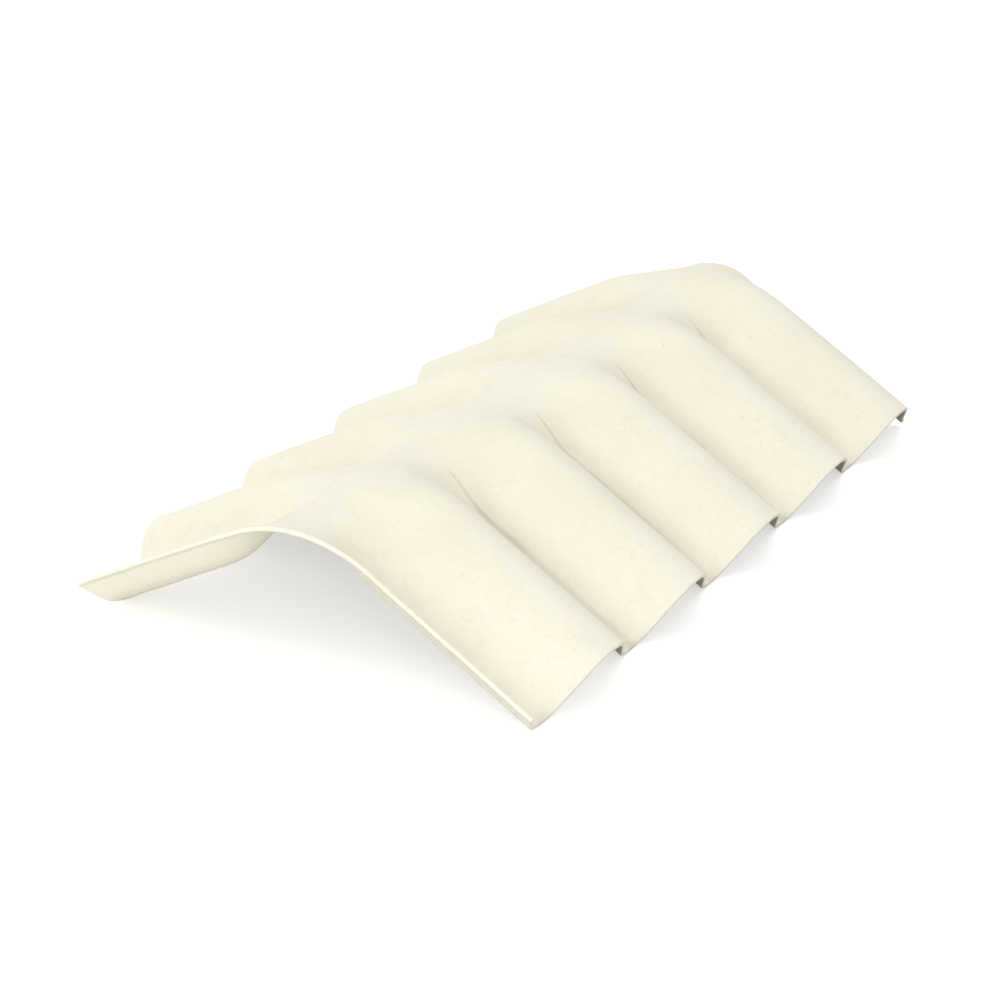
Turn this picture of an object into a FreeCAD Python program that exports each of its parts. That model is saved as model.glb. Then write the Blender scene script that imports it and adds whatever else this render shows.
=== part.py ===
import FreeCAD, Part
import math
import os
import Sketcher

# Corrugated roof ridge cap, moulded in one piece from fibre cement.
# X runs across the ridge, Y along it and Z up. The cap stands on its two eave edges at Z = 0.

doc = FreeCAD.newDocument("RidgeCap")
sheet = doc.addObject("Spreadsheet::Sheet", "Sizes")

sizes = [
    ("pitch", 177.0),            # crest to crest along the ridge
    ("wave_depth", 50.0),        # valley to crest on the wings, on the middle of the wall
    ("flank_length", 23.0),      # straight slope between a crest arc and a valley arc, on the wings
    ("crown_share", 0.12),       # wave depth on the ridge line, as a share of the depth on the wings
    ("crown_lift", 6.6),         # rise of the middle of the waves on the ridge line, above the arch
    ("wall", 5.0),               # thickness of the board
    ("wing_slope", 29.4),        # fall of each wing from level, in degrees
    ("crown_radius", 140.0),     # bend of the arch over the ridge
    ("wing_length", 280.0),      # from the ridge line down to the eave edge, along the arch
    ("blend_length", 116.0),     # from the ridge line to where the waves have their full depth
    ("near_lip", 53.0),          # from the first valley line out to the near cut edge
    ("far_tail", 70.0),          # from the last crest line out to the far cut edge
    ("crest_count", 5),          # whole crests between the two cut edges
]
for row, (alias, value) in enumerate(sizes, start=1):
    sheet.set("A%d" % row, alias)
    sheet.set("B%d" % row, str(value))
    sheet.setAlias("B%d" % row, alias)
doc.recompute()

body = doc.addObject("PartDesign::Body", "RidgeCap")
body.Label = "ridge_cap"
origin = {feature.Role: feature for feature in body.Origin.OriginFeatures}

# The arch seen along the ridge: a round crown that runs straight on into two sloping wings.
# Each point on it is given by its distance from the ridge line, its slope, and its place.
crown_run = "(Sizes.crown_radius * Sizes.wing_slope * pi / 180)"


def arch_point(run):
    angle = "(min(%s; %s) / Sizes.crown_radius * 1 rad)" % (run, crown_run)
    straight = "max(0; %s - %s)" % (run, crown_run)
    across = "(Sizes.crown_radius * sin(%s) + %s * cos(%s))" % (angle, straight, angle)
    drop = "(Sizes.crown_radius * (1 - cos(%s)) + %s * sin(%s))" % (angle, straight, angle)
    return run, angle, across, drop


# The stations of the loft are evenly spaced, with one past the end of the blend on the straight wing.
blend_steps = 6
lofted = "(Sizes.blend_length * %g)" % ((blend_steps + 1) / blend_steps)
stations = []
for step in range(blend_steps + 2):
    stations.append(arch_point("(Sizes.blend_length * %g)" % (step / blend_steps)))

# The valleys of the eave edges touch the ground, which sets the height of the ridge line.
run, angle, across, eave_drop = arch_point("Sizes.wing_length")
ridge_height = "(%s + (Sizes.wave_depth + Sizes.wall) / 2 * cos(Sizes.wing_slope * 1 deg))" % eave_drop

# The cut edges stand at equal distances from the middle of the length.
full_length = "(Sizes.near_lip + (Sizes.crest_count - 0.5) * Sizes.pitch + Sizes.far_tail)"
first_wave = "(Sizes.near_lip - Sizes.pitch / 2 - %s / 2)" % full_length


# The waves deepen from the ridge line down the wings along a smooth curve, level at both ends,
# while their middle sinks from its lift on the ridge line to the arch.
def growth_at(run):
    part_way = "min(1; %s / Sizes.blend_length)" % run
    return "((%s)^3 * (10 - 15 * %s + 6 * (%s)^2))" % (part_way, part_way, part_way)


def depth_at(run):
    return "(Sizes.wave_depth * (Sizes.crown_share + (1 - Sizes.crown_share) * %s))" % growth_at(run)


def lift_at(run):
    return "(Sizes.crown_lift * (1 - %s))" % growth_at(run)


# The flanks shorten with the depth, and the arcs between them take the radius that closes the wave.
def bend_at(run):
    depth = depth_at(run)
    steepness = "(1 - (Sizes.flank_length / Sizes.wave_depth)^2)"
    return "((Sizes.pitch^2 / 4 / %s + %s * %s) / 4)" % (depth, depth, steepness)


# One wave of the board, cut square to the arch: a crest between two half valleys, drawn as arcs
# and straight flanks that run into each other, with the underside concentric to the face.
def wave_section(name, run, angle, across, drop, side):
    section = body.newObject("Sketcher::SketchObject", name)
    section.AttachmentSupport = [(origin["YZ_Plane"], "")]
    section.MapMode = "FlatFace"
    lean = FreeCAD.Rotation(FreeCAD.Vector(1, 0, 0), 10)
    section.AttachmentOffset = FreeCAD.Placement(FreeCAD.Vector(), lean)
    section.setExpression("AttachmentOffset.Base.x", first_wave)
    section.setExpression("AttachmentOffset.Base.y", "%s - %s" % (ridge_height, drop))
    section.setExpression("AttachmentOffset.Base.z", "%d * %s" % (side, across))
    section.setExpression("AttachmentOffset.Rotation.Angle", "%d * %s" % (side, angle))
    doc.recompute()

    # A first drawing with easy numbers, which the constraints then bring to size.
    half = 88.0
    level = 40.0
    inner = 57.0
    outer = 63.0
    turn = 0.6
    up = math.pi / 2
    down = 3 * math.pi / 2
    z_axis = FreeCAD.Vector(0, 0, 1)

    def arc(x, y, size, start, end):
        return Part.ArcOfCircle(Part.Circle(FreeCAD.Vector(x, y, 0), z_axis, size), start, end)

    def flank(first, second):
        return Part.LineSegment(first, second)

    valley_left_top = arc(-half, level, inner, down, down + turn)
    crest_top = arc(0, -level, outer, up - turn, up + turn)
    valley_right_top = arc(half, level, inner, down - turn, down)
    valley_right_under = arc(half, level, outer, down - turn, down)
    crest_under = arc(0, -level, inner, up - turn, up + turn)
    valley_left_under = arc(-half, level, outer, down, down + turn)
    section.addGeometry([
        valley_left_top,
        flank(valley_left_top.EndPoint, crest_top.EndPoint),
        crest_top,
        flank(crest_top.StartPoint, valley_right_top.StartPoint),
        valley_right_top,
        flank(valley_right_top.EndPoint, valley_right_under.EndPoint),
        valley_right_under,
        flank(valley_right_under.StartPoint, crest_under.StartPoint),
        crest_under,
        flank(crest_under.EndPoint, valley_left_under.EndPoint),
        valley_left_under,
        flank(valley_left_under.StartPoint, valley_left_top.StartPoint),
    ], False)
    start, end, centre = 1, 2, 3
    rule = Sketcher.Constraint
    section.addConstraint([
        rule("Tangent", 0, end, 1, start),
        rule("Tangent", 1, end, 2, end),
        rule("Tangent", 2, start, 3, start),
        rule("Tangent", 3, end, 4, start),
        rule("Coincident", 4, end, 5, start),
        rule("Coincident", 5, end, 6, end),
        rule("Tangent", 6, start, 7, start),
        rule("Tangent", 7, end, 8, start),
        rule("Tangent", 8, end, 9, start),
        rule("Tangent", 9, end, 10, end),
        rule("Coincident", 10, start, 11, start),
        rule("Coincident", 11, end, 0, start),
        rule("Coincident", 0, centre, 10, centre),
        rule("Coincident", 2, centre, 8, centre),
        rule("Coincident", 4, centre, 6, centre),
        rule("PointOnObject", 2, centre, -2),
        rule("Vertical", 5),
        rule("Vertical", 11),
        rule("Vertical", 0, centre, 0, start),
        rule("Vertical", 4, centre, 4, end),
        rule("Equal", 0, 4),
        rule("Equal", 10, 6),
        rule("Equal", 2, 6),
        rule("Equal", 8, 4),
    ])

    bend = bend_at(run)
    below = "%s - %s / 2 - %s" % (bend, depth_at(run), lift_at(run))
    above = "%s - %s / 2 + %s" % (bend, depth_at(run), lift_at(run))
    driven = [
        ("half_left", rule("DistanceX", 0, centre, 2, centre, half), "Sizes.pitch / 2"),
        ("half_right", rule("DistanceX", 2, centre, 4, centre, half), "Sizes.pitch / 2"),
        ("crest_centre", rule("DistanceY", 2, centre, -1, 1, level), below),
        ("left_centre", rule("DistanceY", -1, 1, 0, centre, level), above),
        ("right_centre", rule("DistanceY", -1, 1, 4, centre, level), above),
        ("outer_bend", rule("Radius", 2, outer), "%s + Sizes.wall / 2" % bend),
        ("inner_bend", rule("Radius", 8, inner), "%s - Sizes.wall / 2" % bend),
    ]
    for label, constraint, formula in driven:
        index = section.addConstraint(constraint)
        section.renameConstraint(index, label)
        section.setExpression("Constraints.%s" % label, formula)
    return section


# The wave is drawn at each station, from the left wing over the ridge line to the right wing.
sections = []
for number in range(blend_steps + 1, 0, -1):
    sections.append(wave_section("WaveLeft%d" % number, *stations[number], -1))
sections.append(wave_section("WaveRidge", *stations[0], 1))
for number in range(1, blend_steps + 2):
    sections.append(wave_section("WaveRight%d" % number, *stations[number], 1))

crown = body.newObject("PartDesign::AdditiveLoft", "Crown")
crown.Profile = sections[0]
crown.Sections = sections[1:]
crown.Ruled = False
crown.Closed = False
doc.recompute()


# Past the blend each wing runs straight down to its eave edge.
def straight_wing(name, section, backwards):
    wing = body.newObject("PartDesign::Pad", name)
    wing.Profile = section
    wing.Type = "Length"
    wing.Reversed = backwards
    wing.setExpression("Length", "Sizes.wing_length - %s" % lofted)
    doc.recompute()
    return wing


left_wing = straight_wing("LeftWing", sections[0], True)
right_wing = straight_wing("RightWing", sections[-1], False)

# The same wave follows along the ridge, with one to spare at each end for the cut edges.
waves = body.newObject("PartDesign::LinearPattern", "Waves")
waves.Originals = [crown, left_wing, right_wing]
waves.Direction = (origin["Y_Axis"], [""])
waves.setExpression("Length", "Sizes.pitch * (Sizes.crest_count + 1)")
waves.setExpression("Occurrences", "Sizes.crest_count + 2")
body.Tip = waves
doc.recompute()


# Both ends are cut square to the ridge, the near one on a rising flank and the far one on a falling one.
def end_cut(name, offset, toward_near):
    outline = body.newObject("Sketcher::SketchObject", name + "Outline")
    outline.AttachmentSupport = [(origin["XZ_Plane"], "")]
    outline.MapMode = "FlatFace"
    outline.setExpression("AttachmentOffset.Base.z", offset)
    reach = 600.0
    corners = [(-reach, -reach), (reach, -reach), (reach, reach), (-reach, reach)]
    points = [FreeCAD.Vector(x, z, 0) for x, z in corners]
    for index in range(4):
        outline.addGeometry(Part.LineSegment(points[index], points[(index + 1) % 4]), False)
    for index in range(4):
        outline.addConstraint(Sketcher.Constraint("Coincident", index, 2, (index + 1) % 4, 1))
    for index in (0, 2):
        outline.addConstraint(Sketcher.Constraint("Horizontal", index))
        outline.addConstraint(Sketcher.Constraint("Vertical", index + 1))
    outline.addConstraint(Sketcher.Constraint("Symmetric", 0, 1, 2, 1, -1, 1))
    for label, line, kind in (("wide", 0, "DistanceX"), ("high", 1, "DistanceY")):
        index = outline.addConstraint(Sketcher.Constraint(kind, line, 1, line, 2, 2 * reach))
        outline.renameConstraint(index, label)
        outline.setExpression("Constraints.%s" % label, "Sizes.wing_length * 4")
    cut = body.newObject("PartDesign::Pocket", name)
    cut.Profile = outline
    cut.Type = "Length"
    cut.Reversed = toward_near
    cut.setExpression("Length", "Sizes.pitch * 3")
    doc.recompute()
    return cut


whole = waves.Shape.Volume
near_cut = end_cut("NearCut", "%s / 2" % full_length, True)
after_near = near_cut.Shape.Volume
far_cut = end_cut("FarCut", "0 - %s / 2" % full_length, False)
after_far = far_cut.Shape.Volume
body.Tip = far_cut
doc.recompute()

# Everything has to be sound before the part is written.
for item in doc.Objects:
    if "Invalid" in item.State or "Error" in item.State:
        raise RuntimeError("%s did not build: %s" % (item.Name, item.State))
shape = body.Shape
if shape.isNull() or not shape.isValid() or len(shape.Solids) != 1:
    raise RuntimeError("the ridge cap is not one sound solid")
if not whole > after_near > after_far:
    raise RuntimeError("an end cut removed nothing")

os.makedirs("parts", exist_ok=True)
shape.exportStep("parts/%s.step" % body.Label)
box = shape.optimalBoundingBox(False)
print("volume %.0f mm3" % shape.Volume)
print("box", [round(v, 2) for v in (box.XMin, box.XMax, box.YMin, box.YMax, box.ZMin, box.ZMax)])
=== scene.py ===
import math

import bpy
from mathutils import Matrix, Vector


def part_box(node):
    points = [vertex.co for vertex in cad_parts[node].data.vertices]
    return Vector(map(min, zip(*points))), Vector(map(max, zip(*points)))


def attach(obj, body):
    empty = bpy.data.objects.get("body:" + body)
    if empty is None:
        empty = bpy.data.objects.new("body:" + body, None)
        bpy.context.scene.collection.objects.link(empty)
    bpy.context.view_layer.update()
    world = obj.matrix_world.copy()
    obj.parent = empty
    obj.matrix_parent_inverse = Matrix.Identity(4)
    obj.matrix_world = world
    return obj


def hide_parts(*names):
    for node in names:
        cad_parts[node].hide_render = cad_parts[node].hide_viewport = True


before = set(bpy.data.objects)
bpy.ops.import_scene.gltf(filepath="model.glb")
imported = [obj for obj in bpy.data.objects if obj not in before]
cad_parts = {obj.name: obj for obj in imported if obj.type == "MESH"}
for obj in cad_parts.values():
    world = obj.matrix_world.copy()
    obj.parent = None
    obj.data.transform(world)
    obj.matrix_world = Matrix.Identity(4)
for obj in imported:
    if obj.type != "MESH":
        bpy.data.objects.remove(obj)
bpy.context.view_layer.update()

scene = bpy.context.scene

# The ridge cap's board
# One sheet of fibre cement, pressed wet over a waved former and cured in one piece. A round crown
# runs into two straight wings, and the waves, full on the wings, flatten over the crown.
# The sheet is cut to size before it is pressed, so its edges stand square to the waves, a little worn.
low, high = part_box("ridge_cap")
ridge_length = high.y - low.y
pitch = 0.177
wave_depth = 0.050
flank_length = 0.023
crown_share = 0.12
crown_lift = 0.0066
wall = 0.005
wing_slope = math.radians(29.4)
crown_radius = 0.140
wing_length = 0.280
blend_length = 0.116
near_lip = 0.053
flat_shift = 0.018
first_valley = low.y + near_lip
ridge_height = high.z - (crown_share * wave_depth + wall) / 2 - crown_lift

cells_across = 168
cells_along = 270
cells_through = 4
worn_rows = 3
worn_radius = 0.0009
cut_fade_per_metre = 60.0
eave_wander_width = 0.045
end_wander_width = 0.035
broad_dent_width = 0.075
small_dent_width = 0.022
small_dent_share = 0.25


class Field:
    """A number that differs from point to point, made of maths nodes in one tree."""

    def __init__(self, socket):
        self.socket = socket
        self.tree = socket.id_data

    def combine(self, operation, *others):
        node = self.tree.nodes.new("ShaderNodeMath")
        node.operation = operation
        for slot, value in zip(node.inputs, (self, *others)):
            feed(self.tree, slot, value)
        return Field(node.outputs[0])

    def __add__(self, other):
        return self.combine("ADD", other)

    def __sub__(self, other):
        return self.combine("SUBTRACT", other)

    def __rsub__(self, other):
        return self.combine("MULTIPLY", -1.0) + other

    def __mul__(self, other):
        return self.combine("MULTIPLY", other)

    def __truediv__(self, other):
        return self.combine("DIVIDE", other)

    def __pow__(self, other):
        return self.combine("POWER", other)

    def __abs__(self):
        return self.combine("ABSOLUTE")

    __radd__ = __add__
    __rmul__ = __mul__

    def at_most(self, other):
        return self.combine("MINIMUM", other)

    def at_least(self, other):
        return self.combine("MAXIMUM", other)

    def below(self, other):
        return self.combine("LESS_THAN", other)

    def sign(self):
        return self.combine("SIGN")

    def sine(self):
        return self.combine("SINE")

    def cosine(self):
        return self.combine("COSINE")

    def root(self):
        return self.combine("SQRT")


def feed(tree, slot, value):
    if isinstance(value, Field):
        tree.links.new(value.socket, slot)
    elif isinstance(value, bpy.types.NodeSocket):
        tree.links.new(value, slot)
    else:
        slot.default_value = value


def cloud(tree, place, width, detail=2.0, rough=0.5):
    """Soft noise about zero, from -1 to 1, with blotches about as wide as the given width."""
    noise = tree.nodes.new("ShaderNodeTexNoise")
    feed(tree, noise.inputs["Vector"], place)
    feed(tree, noise.inputs["Scale"], 1.0 / width)
    feed(tree, noise.inputs["Detail"], detail)
    feed(tree, noise.inputs["Roughness"], rough)
    return Field(noise.outputs[0]) * 2.0 - 1.0


def point(tree, x, y, z):
    joined = tree.nodes.new("ShaderNodeCombineXYZ")
    for slot, value in zip(joined.inputs, (x, y, z)):
        feed(tree, slot, value)
    return joined.outputs[0]


board_tree = bpy.data.node_groups.new("waved board", "GeometryNodeTree")
board_tree.interface.new_socket("Geometry", in_out="OUTPUT", socket_type="NodeSocketGeometry")
board_inputs = {
    "Ridge length": ridge_length,
    "Wing length": wing_length,
    "Wall": wall,
    "Pitch": pitch,
    "Wave depth": wave_depth,
    "Flank length": flank_length,
    "Crown share": crown_share,
    "Crown lift": crown_lift,
    "Crown radius": crown_radius,
    "Wing slope": wing_slope,
    "Blend length": blend_length,
    "Flat shift": flat_shift,
    "First valley": first_valley,
    "Ridge height": ridge_height,
    "Worn radius": worn_radius,
    "Unevenness": 0.0009,
    "Cut wander": 0.0009,
    "Seed": 4.0,
}
for label in board_inputs:
    board_tree.interface.new_socket(label, in_out="INPUT", socket_type="NodeSocketFloat")
board_tree.interface.new_socket("Finish", in_out="INPUT", socket_type="NodeSocketMaterial")
group_in = board_tree.nodes.new("NodeGroupInput")
size = {label: Field(group_in.outputs[label]) for label in board_inputs}

slab = board_tree.nodes.new("GeometryNodeMeshCube")
slab.inputs["Size"].default_value = (1.0, 1.0, 1.0)
slab.inputs["Vertices X"].default_value = cells_across + 1
slab.inputs["Vertices Y"].default_value = cells_along + 1
slab.inputs["Vertices Z"].default_value = cells_through + 1
slab_place = board_tree.nodes.new("GeometryNodeInputPosition")
parted = board_tree.nodes.new("ShaderNodeSeparateXYZ")
board_tree.links.new(slab_place.outputs[0], parted.inputs[0])
across, along, through = (Field(socket) for socket in parted.outputs)


# The outermost rows of the slab bend round the worn edge, and the rest are evenly spaced.
def from_edge(share, cells, half):
    rows = (0.5 - abs(share)) * cells
    turn = (rows / worn_rows).at_most(1.0) * (math.pi / 2)
    step = (half - size["Worn radius"]) / (cells / 2 - worn_rows)
    inward = (1.0 - turn.cosine()) * size["Worn radius"] + (rows - worn_rows).at_least(0.0) * step
    thinned = (1.0 - turn.sine()) * size["Worn radius"]
    return inward, thinned


half_length = size["Ridge length"] / 2
to_eave, thin_eave = from_edge(across, cells_across, size["Wing length"])
to_end, thin_end = from_edge(along, cells_along, half_length)
side = across.sign()
run = size["Wing length"] - to_eave
length_way = along.sign() * (half_length - to_end)
lift = through * (size["Wall"] - 2.0 * thin_eave.at_least(thin_end))

# The cuts wander a little, which fades away from the edge.
flat_place = point(board_tree, side * run, length_way, size["Seed"])
near_eave = (to_eave * -cut_fade_per_metre).combine("EXPONENT")
near_end = (to_end * -cut_fade_per_metre).combine("EXPONENT")
eave_wander = cloud(board_tree, flat_place, eave_wander_width) * size["Cut wander"]
end_wander = cloud(board_tree, flat_place, end_wander_width) * size["Cut wander"]
run = run + eave_wander * near_eave
length_way = length_way + end_wander * near_end

# The waves deepen down both wings from their flattest line, which lies a little left of the ridge,
# while their middle sinks from its lift there to the arch.
from_flat = abs(side * run + size["Flat shift"])
blend = (from_flat / size["Blend length"]).at_most(1.0)
grown = blend ** 3.0 * (10.0 - 15.0 * blend + 6.0 * blend * blend)
depth = size["Wave depth"] * (size["Crown share"] + (1.0 - size["Crown share"]) * grown)
half_pitch = size["Pitch"] / 2
steepness = 1.0 - (size["Flank length"] / size["Wave depth"]) ** 2.0
bend = (half_pitch * half_pitch / depth + depth * steepness) / 4
flank = size["Flank length"] * depth / size["Wave depth"]
flank_angle = (depth / (half_pitch + flank)).combine("ARCTANGENT") * 2.0


def to_valley(way):
    return (way - size["First valley"]).combine("PINGPONG", half_pitch)


# Both ends lie on a flank that falls along the ridge, and their edges lean square to it.
valley_bend = bend - lift
crest_bend = bend + lift
climb = (to_valley(length_way) / valley_bend).at_most((half_pitch - to_valley(length_way)) / crest_bend)
end_lean = lift * climb.at_most(flank_angle.sine()) * near_end
length_way = length_way + end_lean

# Each wave is a valley arc, a straight flank and a crest arc, square to the arch.
# The press leaves it a little uneven.
from_valley = to_valley(length_way)
from_crest = half_pitch - from_valley
centre = bend - depth / 2
valley_end = valley_bend * flank_angle.sine()
in_valley = from_valley.below(valley_end)
in_crest = from_crest.below(crest_bend * flank_angle.sine())
valley_line = centre - (valley_bend * valley_bend - from_valley * from_valley).root()
crest_line = (crest_bend * crest_bend - from_crest * from_crest).root() - centre
flank_start = centre - valley_bend * flank_angle.cosine()
flank_line = flank_start + (from_valley - valley_end) * flank_angle.combine("TANGENT")
wave = in_valley * valley_line + in_crest * crest_line + (1.0 - in_valley - in_crest) * flank_line
small_dents = small_dent_share * cloud(board_tree, flat_place, small_dent_width)
uneven = cloud(board_tree, flat_place, broad_dent_width) + small_dents
wave = wave + size["Crown lift"] * (1.0 - grown) + uneven * size["Unevenness"]

# The arch bends round the crown to the slope of the wings and then runs straight.
crown_run = size["Crown radius"] * size["Wing slope"]
lean = run.at_most(crown_run) / size["Crown radius"]
straight = (run - crown_run).at_least(0.0)
arch_x = size["Crown radius"] * lean.sine() + straight * lean.cosine() + wave * lean.sine()
arch_drop = size["Crown radius"] * (1.0 - lean.cosine()) + straight * lean.sine()
arch_z = size["Ridge height"] - arch_drop + wave * lean.cosine()
shaped = board_tree.nodes.new("GeometryNodeSetPosition")
board_tree.links.new(point(board_tree, side * arch_x, length_way, arch_z), shaped.inputs["Position"])


# The finish needs to know how deep in a valley, how near a cut, how far from the ridge and on which
# face a point lies.
def remember(geometry, name, value):
    stored = board_tree.nodes.new("GeometryNodeStoreNamedAttribute")
    stored.data_type = "FLOAT"
    stored.domain = "POINT"
    stored.inputs["Name"].default_value = name
    board_tree.links.new(geometry, stored.inputs["Geometry"])
    feed(board_tree, stored.inputs["Value"], value)
    return stored.outputs["Geometry"]


# The values are worked out on the flat slab, before it is shaped.
marked = remember(slab.outputs["Mesh"], "valley_way", from_valley)
marked = remember(marked, "eave_way", to_eave)
marked = remember(marked, "end_way", to_end)
marked = remember(marked, "face_way", through * 2.0)
marked = remember(marked, "ridge_way", run * side)
board_tree.links.new(marked, shaped.inputs["Geometry"])
smoothed = board_tree.nodes.new("GeometryNodeSetShadeSmooth")
board_tree.links.new(shaped.outputs["Geometry"], smoothed.inputs["Geometry"])
realized = board_tree.nodes.new("GeometryNodeRealizeInstances")
board_tree.links.new(smoothed.outputs["Geometry"], realized.inputs["Geometry"])
finished = board_tree.nodes.new("GeometryNodeSetMaterial")
board_tree.links.new(realized.outputs["Geometry"], finished.inputs["Geometry"])
board_tree.links.new(group_in.outputs["Finish"], finished.inputs["Material"])
group_out = board_tree.nodes.new("NodeGroupOutput")
board_tree.links.new(finished.outputs["Geometry"], group_out.inputs["Geometry"])

# The finish: pale cream cement, cloudy and finely grained, with a few pits and specks.
# Painted shade darkens the valleys, pits, creases and eave faces, and the undersides by the ends and the
# right eave.
fibre_cement = bpy.data.materials.new("fibre cement")
fibre_cement.use_nodes = True
cement_tree = fibre_cement.node_tree
cement = cement_tree.nodes["Principled BSDF"]
cement.inputs["Specular IOR Level"].default_value = 0.25
coords = cement_tree.nodes.new("ShaderNodeTexCoord")
cement_place = coords.outputs["Object"]


def mark(name):
    node = cement_tree.nodes.new("ShaderNodeAttribute")
    node.attribute_name = name
    return Field(node.outputs["Fac"])


def tint(under, over, share):
    mix = cement_tree.nodes.new("ShaderNodeMix")
    mix.data_type = "RGBA"
    feed(cement_tree, mix.inputs[0], share)
    feed(cement_tree, mix.inputs[6], under)
    feed(cement_tree, mix.inputs[7], over)
    return mix.outputs[2]


def blotches(width, detail, rough):
    return cloud(cement_tree, cement_place, width, detail, rough)


def step_between(value, start, end):
    """Nothing up to the start, then a smooth rise to 1 at the end, whichever of them is larger."""
    ramp = cement_tree.nodes.new("ShaderNodeMapRange")
    ramp.interpolation_type = "SMOOTHSTEP"
    feed(cement_tree, ramp.inputs["Value"], value)
    ramp.inputs["From Min"].default_value = start
    ramp.inputs["From Max"].default_value = end
    return Field(ramp.outputs["Result"])


def spots(spacing, radius, share):
    """Small round marks about a spacing apart, on the given share of the places for them."""
    cells = cement_tree.nodes.new("ShaderNodeTexVoronoi")
    feed(cement_tree, cells.inputs["Vector"], cement_place)
    feed(cement_tree, cells.inputs["Scale"], 1.0 / spacing)
    near = step_between(Field(cells.outputs["Distance"]) * spacing, radius, radius * 0.4)
    return near * Field(cells.outputs["Color"]).below(share)


cream = (0.890, 0.853, 0.714, 1.0)
pale_cream = (0.920, 0.888, 0.754, 1.0)
grey_green = (0.815, 0.812, 0.672, 1.0)
buff = (0.860, 0.790, 0.640, 1.0)
# This dark colour tints the real grain and specks, and is also the painted shade in valleys, pits,
# creases, eaves and undersides.
grime_and_shade = (0.330, 0.295, 0.230, 1.0)
valley_shade_tone = (0.520, 0.440, 0.310, 1.0)
valley_way = mark("valley_way")
eave_way = mark("eave_way")
end_way = mark("end_way")
face_way = mark("face_way")
ridge_way = mark("ridge_way")
down_wing = abs(ridge_way)
underside = face_way.below(-0.9)

# The skin: broad clouds, paler towards the eaves, then stains, mottling, flecks and a fine grain.
# Mottling and flecks are buff where their noise is high and grey-green where it is low.
stain_start = 0.05
stain_full = 0.60
clouds = step_between(blotches(width=0.12, detail=4.0, rough=0.55), -0.40, 0.40)
stains = blotches(width=0.050, detail=4.0, rough=0.6)
mottle = blotches(width=0.014, detail=4.0, rough=0.65)
flecks = blotches(width=0.0065, detail=3.0, rough=0.7)
grain = blotches(width=0.0018, detail=3.0, rough=0.7)
skin = tint(pale_cream, cream, clouds * step_between(down_wing, 0.30, 0.12))
for noise, sign, colour, strength in (
    (stains, 1.0, grey_green, 0.65),
    (mottle, 1.0, buff, 0.45),
    (mottle, -1.0, grey_green, 0.75),
    (flecks, 1.0, buff, 0.50),
    (flecks, -1.0, grey_green, 0.70),
):
    stained = step_between(noise, sign * stain_start, sign * stain_full)
    skin = tint(skin, colour, stained * strength)
skin = tint(skin, grime_and_shade, step_between(grain, 0.05, 0.80) * 0.09)

# Pits left by air against the former, darkened with painted shade, and a few dark specks.
pits = spots(spacing=0.011, radius=0.0012, share=0.35)
specks = spots(spacing=0.055, radius=0.0021, share=0.40)
skin = tint(skin, grime_and_shade, pits * 0.12)
skin = tint(skin, grime_and_shade, specks * 0.35)

# Fine creases run across the crown near the ends, where the wet sheet was squeezed flat, and are
# darkened with painted shade.
squeeze = cement_tree.nodes.new("ShaderNodeMapping")
squeeze.inputs["Scale"].default_value = (0.16, 1.0, 0.16)
cement_tree.links.new(cement_place, squeeze.inputs["Vector"])
crease = cloud(cement_tree, squeeze.outputs["Vector"], width=0.007, detail=3.0, rough=0.6)
crease = step_between(crease, 0.18, 0.55) * step_between(down_wing, 0.13, 0.05)
skin = tint(skin, grime_and_shade, crease * step_between(end_way, 0.14, 0.02) * 0.14)

# Painted shade: a soft brown band in each valley, and in all but the first a ragged dark line, which
# widens and fades down the wing.
patchy = step_between(blotches(width=0.040, detail=4.0, rough=0.6), -0.60, 0.30)
along_ridge = cement_tree.nodes.new("ShaderNodeSeparateXYZ")
cement_tree.links.new(cement_place, along_ridge.inputs[0])
past_first = step_between(Field(along_ridge.outputs["Y"]), first_valley + 0.03, first_valley + 0.08)
painted_valley_shade = step_between(valley_way, 0.034, 0.004) * step_between(down_wing, 0.02, 0.09)
skin = tint(skin, valley_shade_tone, painted_valley_shade * (patchy * 0.7 + 0.3) * (past_first * 0.15 + 0.07))
line_width = step_between(down_wing, 0.02, 0.15) * 0.0075 + 0.0025
ragged = blotches(width=0.006, detail=3.0, rough=0.6) * 0.0015
line_start = step_between(ridge_way, 0.012, 0.045).at_least(step_between(ridge_way, -0.06, -0.12))
line_fade = 1.0 - step_between(down_wing, 0.12, 0.24) * 0.45
painted_shade_line = step_between((valley_way + ragged) / line_width, 1.0, 0.1)
painted_shade_line = painted_shade_line * line_start * past_first * line_fade
skin = tint(skin, grime_and_shade, painted_shade_line * (patchy * 0.6 + 0.4) * 0.38)

# The end edges are cut pale, and the down-facing eave faces are darkened with painted shade. Painted
# shade also sits at the foot of each valley and under both ends and the right eave.
skin = tint(skin, pale_cream, step_between(end_way, 0.0014, 0.0006) * 0.2)
skin = tint(skin, grime_and_shade, step_between(eave_way, 0.0014, 0.0004) * 0.28)
hook_shade = step_between(eave_way, 0.012, 0.001) * step_between(valley_way, 0.016, 0.004)
skin = tint(skin, grime_and_shade, hook_shade * patchy * 0.20)
lip_shade_line = step_between(end_way, 0.0032, 0.0012)
painted_eave_shade = step_between(eave_way, 0.040, 0.006) * step_between(ridge_way, 0.05, 0.15) * past_first
skin = tint(skin, grime_and_shade, underside * (lip_shade_line * 0.25).at_least(painted_eave_shade * 0.88))
feed(cement_tree, cement.inputs["Base Color"], skin)
roughness = 0.86 + mottle * 0.06
feed(cement_tree, cement.inputs["Roughness"], roughness)

# The surface is shallowly dented and grainy, and sinks at the pits and creases.
dents = blotches(width=0.016, detail=3.0, rough=0.5)
bump = cement_tree.nodes.new("ShaderNodeBump")
bump.inputs["Strength"].default_value = 0.5
bump.inputs["Distance"].default_value = 0.0006
feed(cement_tree, bump.inputs["Height"], dents + grain * 0.30 - pits * 0.9 - crease * 0.5)
cement_tree.links.new(bump.outputs["Normal"], cement.inputs["Normal"])

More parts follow.
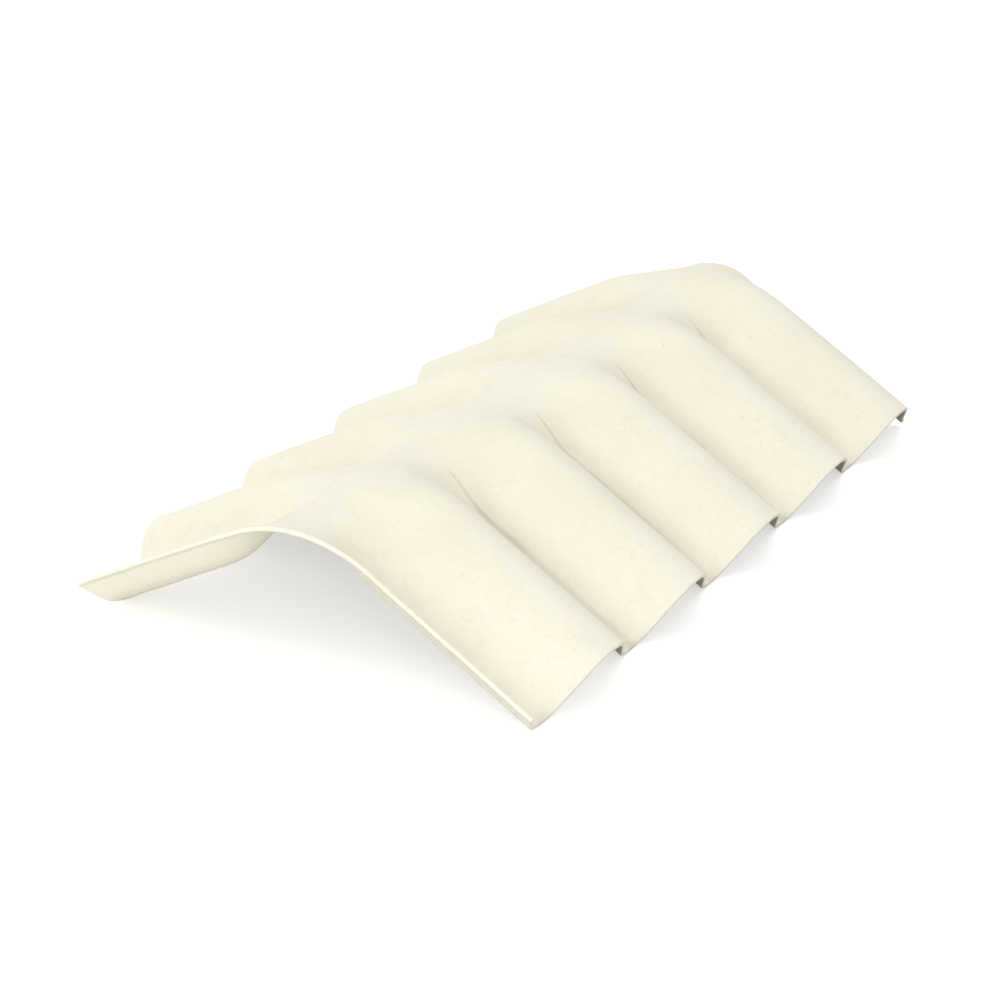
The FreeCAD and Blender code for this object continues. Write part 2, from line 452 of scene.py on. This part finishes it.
# The board leaves the former as a plain mesh.
former = bpy.data.objects.new("former", bpy.data.meshes.new("former"))
scene.collection.objects.link(former)
pressed = former.modifiers.new("waved board", "NODES")
pressed.node_group = board_tree
for item in board_tree.interface.items_tree:
    if item.in_out == "INPUT":
        pressed[item.identifier] = board_inputs.get(item.name, fibre_cement)
depsgraph = bpy.context.evaluated_depsgraph_get()
board_mesh = bpy.data.meshes.new_from_object(former.evaluated_get(depsgraph))
bpy.data.objects.remove(former)
board_mesh.name = "ridge_cap_board"
board = bpy.data.objects.new("ridge_cap_board", board_mesh)
scene.collection.objects.link(board)
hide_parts("ridge_cap")
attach(board, "root")

# The floor
# A wide, plain studio floor, painted matt white, on which the cap stands unheld.
# It takes the cap's soft shadow, and a glow that only the camera sees keeps it white.
floor_size = 40.0
floor_glow = 0.50
floor_mesh = bpy.data.meshes.new("floor")
half_floor = floor_size / 2
floor_corners = [(-half_floor, -half_floor, 0.0), (half_floor, -half_floor, 0.0),
                 (half_floor, half_floor, 0.0), (-half_floor, half_floor, 0.0)]
floor_mesh.from_pydata(floor_corners, [], [(0, 1, 2, 3)])
floor = bpy.data.objects.new("floor", floor_mesh)
scene.collection.objects.link(floor)
white_floor = bpy.data.materials.new("white floor")
white_floor.use_nodes = True
floor_tree = white_floor.node_tree
floor_tree.nodes.clear()
paint = floor_tree.nodes.new("ShaderNodeBsdfDiffuse")
paint.inputs["Color"].default_value = (0.85, 0.85, 0.85, 1.0)
glow = floor_tree.nodes.new("ShaderNodeEmission")
light_path = floor_tree.nodes.new("ShaderNodeLightPath")
seen = Field(light_path.outputs["Is Camera Ray"]) * floor_glow
feed(floor_tree, glow.inputs["Strength"], seen)
both = floor_tree.nodes.new("ShaderNodeAddShader")
floor_tree.links.new(paint.outputs[0], both.inputs[0])
floor_tree.links.new(glow.outputs[0], both.inputs[1])
floor_out = floor_tree.nodes.new("ShaderNodeOutputMaterial")
floor_tree.links.new(both.outputs[0], floor_out.inputs["Surface"])
floor_mesh.materials.append(white_floor)

# The light
# An even white tent all round, with high soft lamps beyond the left wing and behind the far end,
# and low ones before the near end, to its right and its left.
tent_level = 0.46
tent = bpy.data.worlds.new("white tent")
tent.use_nodes = True
tent_tree = tent.node_tree
tent_light = tent_tree.nodes["Background"]
tent_light.inputs["Color"].default_value = (1.0, 1.0, 1.0, 1.0)
tent_path = tent_tree.nodes.new("ShaderNodeLightPath")
tent_seen = Field(tent_path.outputs["Is Camera Ray"]).at_least(Field(tent_path.outputs["Is Glossy Ray"]))
feed(tent_tree, tent_light.inputs["Strength"], tent_seen * (1.0 - tent_level) + tent_level)
scene.world = tent
lamp_distance = 3.2

# A lamp's level is about the brightness that it gives a white surface facing it.
for lamp_name, azimuth, elevation, width, level in (
    ("high lamp", -60.0, 45.0, 2.2, 0.45),
    ("back lamp", 165.0, 45.0, 2.2, 0.28),
    ("low lamp", 44.0, 14.0, 1.3, 0.37),
    ("floor lamp", -25.0, 3.0, 0.8, 0.11),
):
    turn = math.radians(azimuth)
    rise = math.radians(elevation)
    lamp_way = Vector((
        math.sin(turn) * math.cos(rise),
        -math.cos(turn) * math.cos(rise),
        math.sin(rise),
    ))
    soft_lamp = bpy.data.lights.new(lamp_name, "AREA")
    soft_lamp.size = width
    soft_lamp.energy = level * math.pi ** 2 * lamp_distance ** 2
    lamp = bpy.data.objects.new(lamp_name, soft_lamp)
    scene.collection.objects.link(lamp)
    lamp.location = lamp_way * lamp_distance
    lamp.rotation_mode = "QUATERNION"
    lamp.rotation_quaternion = (-lamp_way).to_track_quat("-Z", "Y")
    lamp.visible_camera = False
scene.view_settings.view_transform = "Standard"

# The camera
# A long lens looks down on the near end and the right wing, with the ridge running away to the right.
# It stands under three metres off and is turned a little about its own axis.
view_azimuth = math.radians(28.993)
view_elevation = math.radians(24.059)
view_roll = math.radians(2.047)
view_distance = 2.76797
view_target = Vector((0.04484, -0.15550, 0.08418))
focal_length = 98.56
back = Vector((
    math.sin(view_azimuth) * math.cos(view_elevation),
    -math.cos(view_azimuth) * math.cos(view_elevation),
    math.sin(view_elevation),
))
lens = bpy.data.cameras.new("camera")
lens.lens = focal_length
lens.sensor_width = 36.0
camera = bpy.data.objects.new("camera", lens)
scene.collection.objects.link(camera)
turned = (-back).to_track_quat("-Z", "Y").to_matrix().to_4x4()
camera.matrix_world = (
    Matrix.Translation(view_target + back * view_distance) @ turned @ Matrix.Rotation(view_roll, 4, "Z")
)
scene.camera = camera
